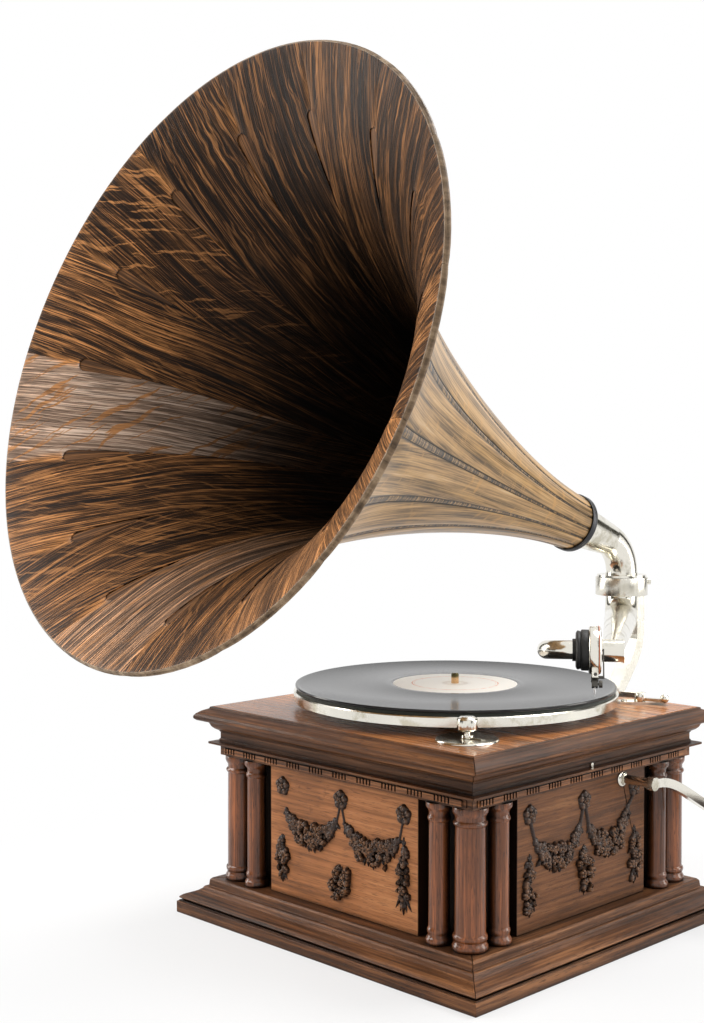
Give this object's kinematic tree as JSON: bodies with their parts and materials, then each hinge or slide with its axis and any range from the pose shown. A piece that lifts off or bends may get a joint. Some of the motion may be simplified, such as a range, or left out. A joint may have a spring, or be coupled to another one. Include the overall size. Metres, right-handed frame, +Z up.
{
  "type": "horn phonograph",
  "caption": "Tabletop horn phonograph: oak cabinet with columns and carved swags, crank-wound spring motor, turntable with record, nickel tone arm and a fluted wooden horn.",
  "frame": {"origin": "centre of the cabinet's underside, on the surface that it stands on", "axes": "+Z up, -Y the front that the horn's mouth faces, +X the crank side"},
  "size_m": [0.5594, 0.6807, 0.7793],
  "materials": {
    "oak": "satin shellac",
    "panel_oak": "satin shellac",
    "dark_oak": "satin shellac",
    "horn_oak": "satin shellac",
    "nickel": "polished nickel plate",
    "steel": "machined",
    "cast_iron": "as cast",
    "black_iron": "black enamel",
    "brass": "machined",
    "shellac": "pressed shellac",
    "felt": "felt",
    "brake_leather": "worn leather",
    "rubber": "matt",
    "mica": "translucent mica"
  },
  "bodies": {
    "cabinet": {"base_slab": "oak", "base_moulding": "oak", "carcass_walls": "dark_oak", "panel_front": "panel_oak", "panel_right": "panel_oak", "panel_back": "panel_oak", "panel_left": "panel_oak", "carving_front": "dark_oak", "carving_right": "dark_oak", "carving_left": "dark_oak", "corner_columns": "oak", "side_columns": "oak", "architrave": "oak", "bead_and_reel": "oak", "frieze": "oak", "cornice": "oak", "top_board": "panel_oak", "side_pin": "nickel", "motor_frame": "cast_iron", "motor_screws": "nickel", "crank_escutcheon": "nickel", "speed_dial": "nickel", "brake_plate": "nickel", "bracket": "nickel", "bracket_screws": "nickel", "collar_screw": "steel"},
    "turntable": {"platter": "nickel", "platter_felt": "felt", "record": "shellac", "spindle": "steel", "spindle_gears": "brass"},
    "barrel": {"spring_barrel": "brass", "mainspring": "steel"},
    "winding_arbor": {"barrel_arbor": "steel"},
    "crank": {"crank_arm": "nickel", "crank_pinion": "steel", "ratchet_wheel": "steel"},
    "handle": {"crank_handle": "dark_oak"},
    "click": {"pawl": "steel"},
    "intermediate": {"intermediate_gear": "steel"},
    "governor": {"governor_shaft": "steel", "governor_weights": "cast_iron"},
    "regulator_disc": {"governor_disc": "steel"},
    "regulator_lever": {"governor_brake": "steel"},
    "speed_control": {"speed_knob": "nickel"},
    "brake": {"brake_lever": "nickel", "brake_pad": "brake_leather"},
    "horn": {"horn_elbow": "nickel", "horn_ring": "black_iron", "horn_staves": "horn_oak", "horn_spears": "dark_oak"},
    "arm": {"tone_arm": "nickel"},
    "reproducer": {"gooseneck": "nickel", "soundbox_flange": "rubber", "soundbox_shell": "nickel", "soundbox_cover": "nickel", "diaphragm": "mica"},
    "stylus": {"stylus_bar": "black_iron", "needle": "steel"},
    "chuck_screw": {"needle_screw": "nickel"}
  },
  "joints": [
    {"name": "turntable_spin", "type": "hinge", "parent": "cabinet", "child": "turntable", "pos_m": [0, 0, 0.2], "axis": [0, 0, 1], "continuous": true},
    {"name": "barrel_turn", "type": "hinge", "parent": "cabinet", "child": "barrel", "pos_m": [0.04, 0.028, 0.11251], "axis": [1, 0, 0], "continuous": true},
    {"name": "arbor_turn", "type": "hinge", "parent": "cabinet", "child": "winding_arbor", "pos_m": [0.04, 0.028, 0.11251], "axis": [1, 0, 0], "continuous": true},
    {"name": "crank_turn", "type": "hinge", "parent": "cabinet", "child": "crank", "pos_m": [0.15, 0.057, 0.1433], "axis": [1, 0, 0], "continuous": true},
    {"name": "handle_spin", "type": "hinge", "parent": "crank", "child": "handle", "pos_m": [0.22, 0.16363, 0.10022], "axis": [1, 0, 0], "continuous": true},
    {"name": "click_pivot", "type": "hinge", "parent": "cabinet", "child": "click", "pos_m": [0.084, 0.031, 0.1433], "axis": [1, 0, 0], "range_deg": [0, 20]},
    {"name": "intermediate_turn", "type": "hinge", "parent": "cabinet", "child": "intermediate", "pos_m": [0, -0.0243, 0.11251], "axis": [1, 0, 0], "continuous": true},
    {"name": "governor_spin", "type": "hinge", "parent": "cabinet", "child": "governor", "pos_m": [0, -0.026, 0.064], "axis": [1, 0, 0], "continuous": true},
    {"name": "regulator_slide", "type": "slide", "parent": "governor", "child": "regulator_disc", "axis": [1, 0, 0], "range_m": [-0.0005, 0], "stiffness_N_per_m": 800},
    {"name": "regulator_pivot", "type": "hinge", "parent": "cabinet", "child": "regulator_lever", "pos_m": [0.07, -0.06, 0.162], "axis": [0, 0, 1], "range_deg": [0, 1.2]},
    {"name": "speed_turn", "type": "hinge", "parent": "cabinet", "child": "speed_control", "pos_m": [0.11582, -0.11582, 0.2], "axis": [0, 0, 1], "range_deg": [0, 180]},
    {"name": "brake_pivot", "type": "hinge", "parent": "cabinet", "child": "brake", "pos_m": [0.113, 0.139, 0.2], "axis": [0, 0, 1], "range_deg": [-12, 3.5]},
    {"name": "horn_swivel", "type": "hinge", "parent": "cabinet", "child": "horn", "pos_m": [0, 0.2686, 0.3], "axis": [0, 0, 1], "range_deg": [-60, 60]},
    {"name": "arm_swing", "type": "hinge", "parent": "cabinet", "child": "arm", "pos_m": [0, 0.2686, 0.288], "axis": [0, 0, 1], "range_deg": [-18, 6]},
    {"name": "crook_lift", "type": "hinge", "parent": "arm", "child": "reproducer", "pos_m": [0.12069, 0.08346, 0.25345], "axis": [-0.788, -0.6157, 0], "range_deg": [0, 120]},
    {"name": "stylus_rock", "type": "hinge", "parent": "reproducer", "child": "stylus", "pos_m": [0.13736, 0.03305, 0.2362], "axis": [-0.5602, 0.7171, -0.4147], "range_deg": [-1, 1], "stiffness_Nm_per_rad": 1},
    {"name": "chuck_turn", "type": "hinge", "parent": "stylus", "child": "chuck_screw", "pos_m": [0.13902, 0.03093, 0.23029], "axis": [0.788, 0.6157, 0], "range_deg": [0, 360]}
  ],
  "couplings": [
    {"joint": "intermediate_turn", "follows": "turntable_spin", "ratio": 0.075},
    {"joint": "barrel_turn", "follows": "turntable_spin", "ratio": -0.013636},
    {"joint": "governor_spin", "follows": "turntable_spin", "ratio": 12},
    {"joint": "arbor_turn", "follows": "crank_turn", "ratio": -0.4},
    {"joint": "regulator_pivot", "follows": "speed_turn", "ratio": 0.0066667}
  ]
}
